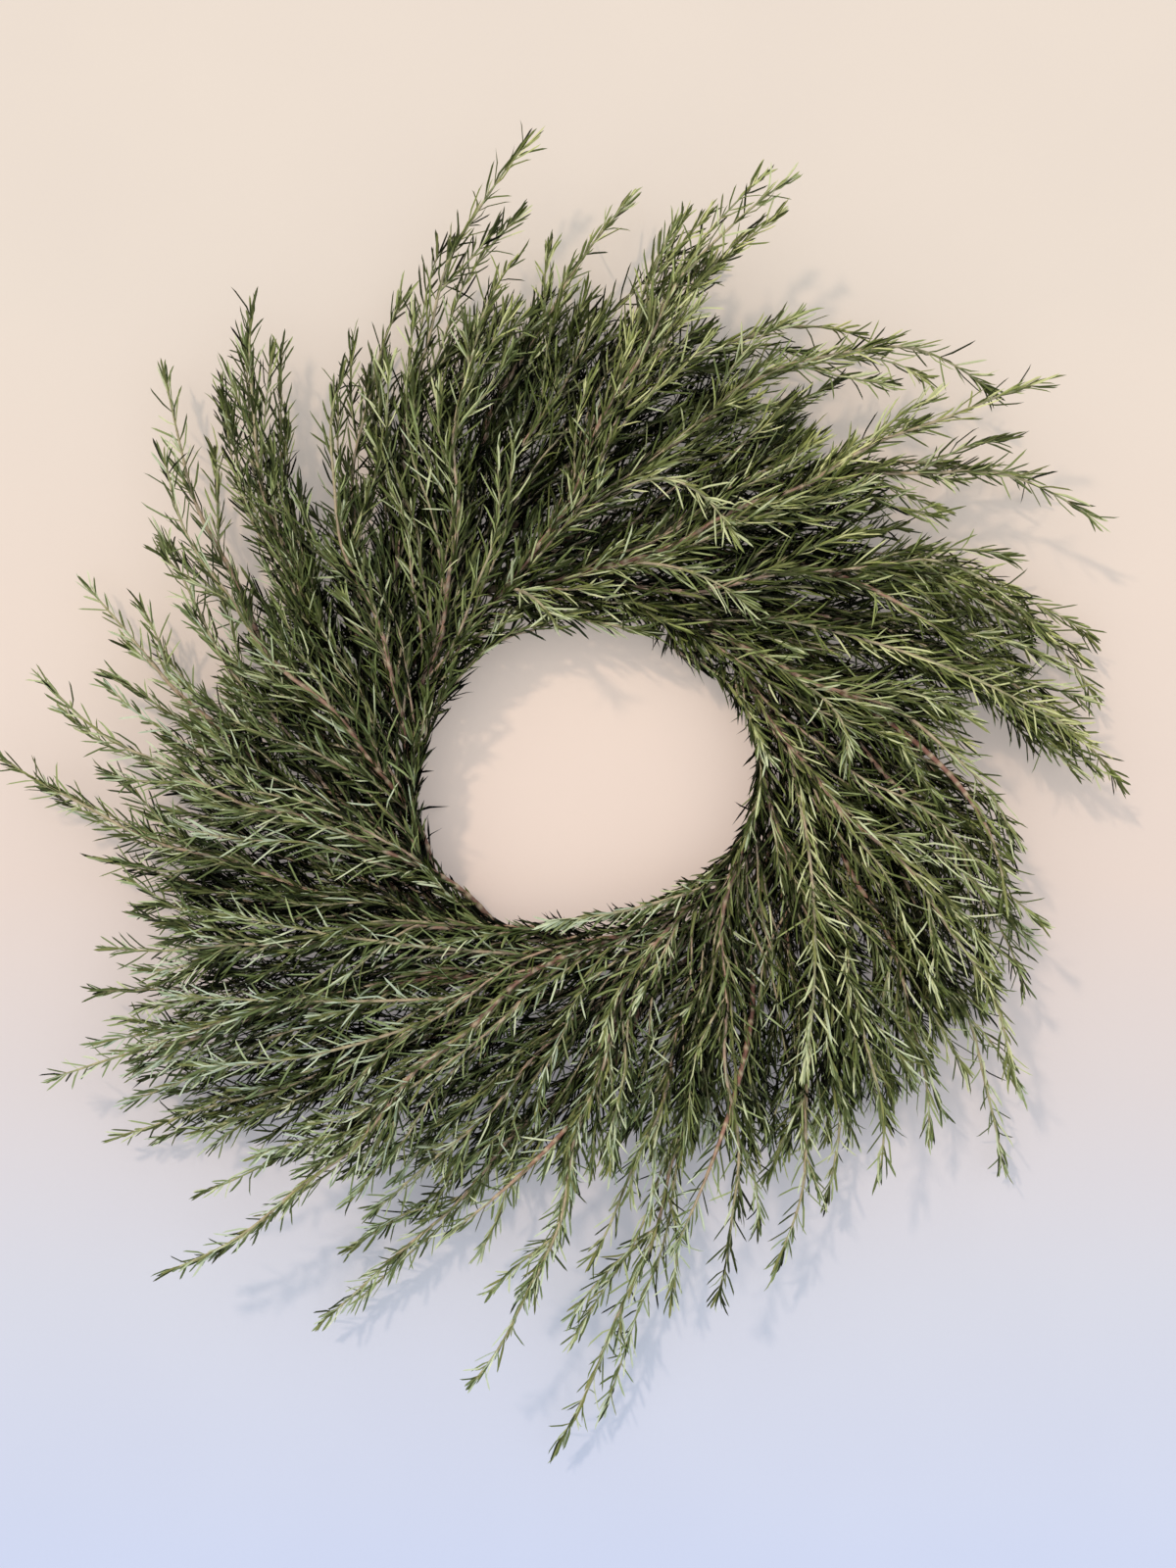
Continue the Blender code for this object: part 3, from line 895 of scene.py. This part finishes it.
def leaf_underside():
    """Dull grey-green, with painted shade from the tint under other leaves."""
    n = Nodes("rosemary_leaf_underside")
    colour = n.ramp(
        n.attribute("tint"),
        ((0.0, (0.010, 0.011, 0.004)), (0.5, (0.095, 0.106, 0.030)), (1.0, (0.280, 0.287, 0.100))),
    )
    mottle = n.ramp(n.noise(420.0), ((0.3, (0.7, 0.72, 0.66)), (0.7, (1, 1, 1))))
    colour = n.mix("MULTIPLY", 0.45, colour, mottle)
    n.link(colour, n.shader.inputs["Base Color"])
    n.shader.inputs["Specular IOR Level"].default_value = 0.25
    n.link(n.spread(n.noise(900.0), 0.72, 0.9), n.shader.inputs["Roughness"])
    n.bump(n.noise(3000.0, 2.0), 0.3, 0.0002)
    return n.material


def stem_wood():
    """Brown bark that turns green to the tip, paler on young wood, with pale nodes."""
    n = Nodes("rosemary_wood")
    place = n.attribute("place")
    bark = n.ramp(
        place,
        (
            (0.0, (0.080, 0.050, 0.036)),
            (0.30, (0.255, 0.108, 0.072)),
            (0.55, (0.450, 0.245, 0.172)),
            (0.80, (0.600, 0.450, 0.300)),
            (1.0, (0.380, 0.420, 0.180)),
        ),
    )
    young = n.ramp(
        place,
        (
            (0.0, (0.120, 0.080, 0.055)),
            (0.30, (0.475, 0.278, 0.200)),
            (0.60, (0.645, 0.470, 0.340)),
            (1.0, (0.380, 0.440, 0.180)),
        ),
    )
    colour = n.mix("MIX", n.attribute("tint"), young, bark)
    knots = n.ramp(n.attribute("cool"), ((0.45, (0, 0, 0)), (1.0, (0.8, 0.8, 0.8))))
    colour = n.mix("MIX", knots, colour, (0.600, 0.490, 0.320))
    streaks = n.ramp(n.noise(180.0, 5.0), ((0.32, (0.55, 0.5, 0.46)), (0.62, (1, 1, 1))))
    colour = n.mix("MULTIPLY", 0.7, colour, streaks)
    n.link(colour, n.shader.inputs["Base Color"])
    n.link(n.spread(n.noise(500.0), 0.6, 0.85), n.shader.inputs["Roughness"])
    n.bump(n.noise(900.0, 4.0), 0.5, 0.0004)
    return n.material


def lacquered_wire(name, dark, light):
    n = Nodes(name)
    colour = n.ramp(n.noise(90.0, 4.0), ((0.3, dark), (0.7, light)))
    n.link(colour, n.shader.inputs["Base Color"])
    n.shader.inputs["Metallic"].default_value = 0.2
    n.link(n.spread(n.noise(400.0), 0.32, 0.52), n.shader.inputs["Roughness"])
    n.bump(n.noise(1500.0, 2.0), 0.2, 0.0002)
    return n.material


def wire_ring(material):
    """The three wires and their crossbars."""
    pile = Pile()
    turns = np.linspace(0, 2 * math.pi, 120, endpoint=False)
    radial = np.column_stack([np.cos(turns), np.sin(turns), np.zeros(len(turns))])
    upward = np.tile(UP, (len(turns), 1))
    even = np.zeros(len(turns))
    thick = even + WIRE_THICKNESS / 2
    for radius in WIRE_RADII:
        centres = RING_CENTRE + radial * radius + UP * WIRE_LEVEL
        tube(pile, centres, upward, radial, thick, 10, 0.5, even, even, closed=True)
    reach = np.linspace(WIRE_RADII[0] - 1.2 * MM, WIRE_RADII[-1] + 1.2 * MM, 4)
    upward = np.tile(UP, (len(reach), 1))
    even = np.zeros(len(reach))
    thick = even + CROSSBAR_THICKNESS / 2
    for k in range(CROSSBAR_COUNT):
        turn = FIRST_TIE_DEG - TIE_STEP_DEG / 2 - 360.0 / CROSSBAR_COUNT * k
        out = np.append(heading(turn), 0.0)
        side = np.tile(np.cross(UP, out), (len(reach), 1))
        centres = RING_CENTRE + reach[:, None] * out + UP * WIRE_LEVEL
        tube(pile, centres, side, upward, thick, 8, 0.5, even, even)
    ring = pile.build("ring_of_wire", [material], True)
    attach(ring, "root")
    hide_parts("wire_ring")


def tie_wraps(name, tie_deg, material, rng):
    """Thin wire wound three times round the ring and the stems."""
    pile = Pile()
    strand = TIE_THICKNESS / 4
    clear = GAP + TIE_THICKNESS / 2
    inner = WIRE_RADII[0] - STEM_RADIUS - clear + TIE_CORNER
    outer = WIRE_RADII[-1] + STEM_RADIUS + clear - TIE_CORNER
    low = TIE_THICKNESS / 2 + TIE_CORNER
    high = TIE_TOP - TIE_CORNER
    out = np.append(heading(tie_deg), 0.0)
    along = np.append(heading(tie_deg - 90), 0.0)
    corners = ((outer, low, -90), (outer, high, 0), (inner, high, 90), (inner, low, 180))
    path, normals = [], []
    for radius, level, start in corners * TIE_WRAPS:
        for i in range(5):
            a = math.radians(start + 90.0 * i / 4)
            normal = out * math.cos(a) + UP * math.sin(a)
            bent = TIE_CORNER + rng.uniform(-0.12, 0.12) * MM
            path.append(out * radius + UP * level + normal * bent)
            normals.append(normal)
    path, normals = np.array(path), np.array(normals)
    drift = np.linspace(-1.0, 1.0, len(path)) * strand * 2.3
    path = path + drift[:, None] * along + RING_CENTRE
    even = np.zeros(len(path))
    tube(pile, path, normals, np.tile(along, (len(path), 1)), even + strand, 6, 0.5, even, even)
    made = pile.build(f"{name}_wraps", [material], True)
    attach(made, "root")
    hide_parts(name)


def floor():
    """A pale matte floor, cream to one side and faintly blue to the other."""
    mesh = bpy.data.meshes.new("floor")
    square = ((-1, -1), (1, -1), (1, 1), (-1, 1))
    corners = [(FLOOR_REACH * x, FLOOR_REACH * y, 0) for x, y in square]
    mesh.from_pydata(corners, [], [(0, 1, 2, 3)])
    made = bpy.data.objects.new("floor", mesh)
    bpy.context.scene.collection.objects.link(made)
    n = Nodes("floor_paint")
    split = n.new("ShaderNodeSeparateXYZ")
    n.link(n.coordinates(), split.inputs["Vector"])
    away = n.new("ShaderNodeVectorMath", operation="LENGTH")
    n.link(n.coordinates(), away.inputs[0])
    colour = n.ramp(
        n.between(split.outputs["Y"], *BLUE_TO_CREAM),
        (
            (0.0, (0.675, 0.700, 0.860)),
            (0.17, (0.745, 0.715, 0.770)),
            (0.30, (0.810, 0.700, 0.670)),
            (0.43, (0.895, 0.712, 0.612)),
            (0.60, (0.930, 0.742, 0.618)),
            (0.80, (0.895, 0.740, 0.618)),
        ),
    )
    colour = n.mix("MIX", n.between(away.outputs["Value"], *FADE), colour, (0.890, 0.738, 0.626))
    # Painted light: the floor is lightened in its middle, under the wreath's open middle.
    lit = n.between(away.outputs["Value"], *PAINTED_LIGHT_MIDDLE)
    colour = n.mix("MULTIPLY", lit, colour, (1.085, 1.060, 1.035))
    clouds = n.ramp(n.noise(5.0), ((0.3, (0.93, 0.93, 0.95)), (0.7, (1, 1, 1))))
    colour = n.mix("MULTIPLY", 0.35, colour, clouds)
    n.link(colour, n.shader.inputs["Base Color"])
    n.link(n.spread(n.noise(60.0), 0.8, 0.95), n.shader.inputs["Roughness"])
    n.shader.inputs["Specular IOR Level"].default_value = 0.2
    n.bump(n.noise(260.0), 0.15, 0.0006)
    # Painted light: the floor glows to the camera a little bluer than its colour, lightening its
    # shadows and turning them bluish.
    glow = n.new("ShaderNodeEmission")
    n.link(n.mix("MULTIPLY", 1.0, colour, (0.88, 1.0, 1.12)), glow.inputs["Color"])
    share = n.new("ShaderNodeMath", operation="MULTIPLY")
    share.inputs[1].default_value = OWN_SHARE
    n.link(n.new("ShaderNodeLightPath").outputs["Is Camera Ray"], share.inputs[0])
    seen = n.new("ShaderNodeMixShader")
    n.link(share.outputs["Value"], seen.inputs["Fac"])
    n.link(n.shader.outputs["BSDF"], seen.inputs[1])
    n.link(glow.outputs["Emission"], seen.inputs[2])
    n.link(seen.outputs["Shader"], n.tree.nodes["Material Output"].inputs["Surface"])
    mesh.materials.append(n.material)


def lights():
    """A low warm sun, a softer one beside it, and a faintly blue sky that is seen as cream."""
    world = bpy.data.worlds.new("studio")
    bpy.context.scene.world = world
    world.use_nodes = True
    tree = world.node_tree
    lit = tree.nodes["Background"]
    lit.inputs["Color"].default_value = (0.84, 0.93, 1.0, 1.0)
    lit.inputs["Strength"].default_value = 0.82
    seen = tree.nodes.new("ShaderNodeBackground")
    seen.inputs["Color"].default_value = (0.85, 0.76, 0.69, 1.0)
    either = tree.nodes.new("ShaderNodeMixShader")
    to_camera = tree.nodes.new("ShaderNodeLightPath").outputs["Is Camera Ray"]
    tree.links.new(to_camera, either.inputs["Fac"])
    tree.links.new(lit.outputs["Background"], either.inputs[1])
    tree.links.new(seen.outputs["Background"], either.inputs[2])
    tree.links.new(either.outputs["Shader"], tree.nodes["World Output"].inputs["Surface"])
    for label, source, breadth_deg, strength, tone in (
        ("key", (-3.6, 4.2, 4.9), 4, 1.12, (1.0, 0.84, 0.68)),
        ("soft", (-3.0, 3.0, 4.6), 45, 0.30, (1.0, 0.84, 0.68)),
    ):
        lamp = bpy.data.lights.new(label, "SUN")
        lamp.angle = math.radians(breadth_deg)
        lamp.energy = strength
        lamp.color = tone
        made = bpy.data.objects.new(label, lamp)
        made.location = source
        made.rotation_euler = Vector(source).to_track_quat("Z", "Y").to_euler()
        bpy.context.scene.collection.objects.link(made)


def camera():
    """Straight down on the wreath, with its top to the top of the view."""
    lens = bpy.data.cameras.new("camera")
    lens.lens = LENS
    made = bpy.data.objects.new("camera", lens)
    bpy.context.scene.collection.objects.link(made)
    level = MIDDLE_LEVEL + SEEN_HEIGHT * lens.lens / lens.sensor_width
    made.location = RING_CENTRE + CAMERA_OFFSET + UP * level
    bpy.context.scene.camera = made


def main():
    wood = stem_wood()
    greens = [leaf_upper(), leaf_underside()]
    ring_paint = lacquered_wire("ring_paint", (0.020, 0.034, 0.018), (0.040, 0.062, 0.032))
    tie_paint = lacquered_wire("tie_paint", (0.030, 0.050, 0.024), (0.060, 0.090, 0.044))
    sprigs = []
    for k, tips in enumerate(TIPS):
        tie_deg = FIRST_TIE_DEG - TIE_STEP_DEG * k
        for i, (letter, place, tip) in enumerate(zip("abc", PLACES, tips)):
            index = k * len(PLACES) + i
            name = f"sprig_{k + 1:02d}_{letter}"
            sprigs.append(Sprig(name, index, tie_deg, place, tip, SHOOTS[index % len(SHOOTS)]))
        tie_wraps(f"tie_{k + 1:02d}", tie_deg, tie_paint, np.random.default_rng(TIE_SEED + k))
    cover = Cover()
    for sprig in sprigs:
        for leaves in sprig.grown:
            cover.add(leaves)
    for sprig in sprigs:
        sprig.fill_gaps(cover)
        sprig.gather()
    canopy = Canopy(np.concatenate([sprig.middles for sprig in sprigs]))
    for sprig in sprigs:
        sprig.paint_shade_below(canopy)
        sprig.build([wood], greens)
    wire_ring(ring_paint)
    floor()
    lights()
    camera()


main()
bpy.context.scene.view_settings.view_transform = "Standard"
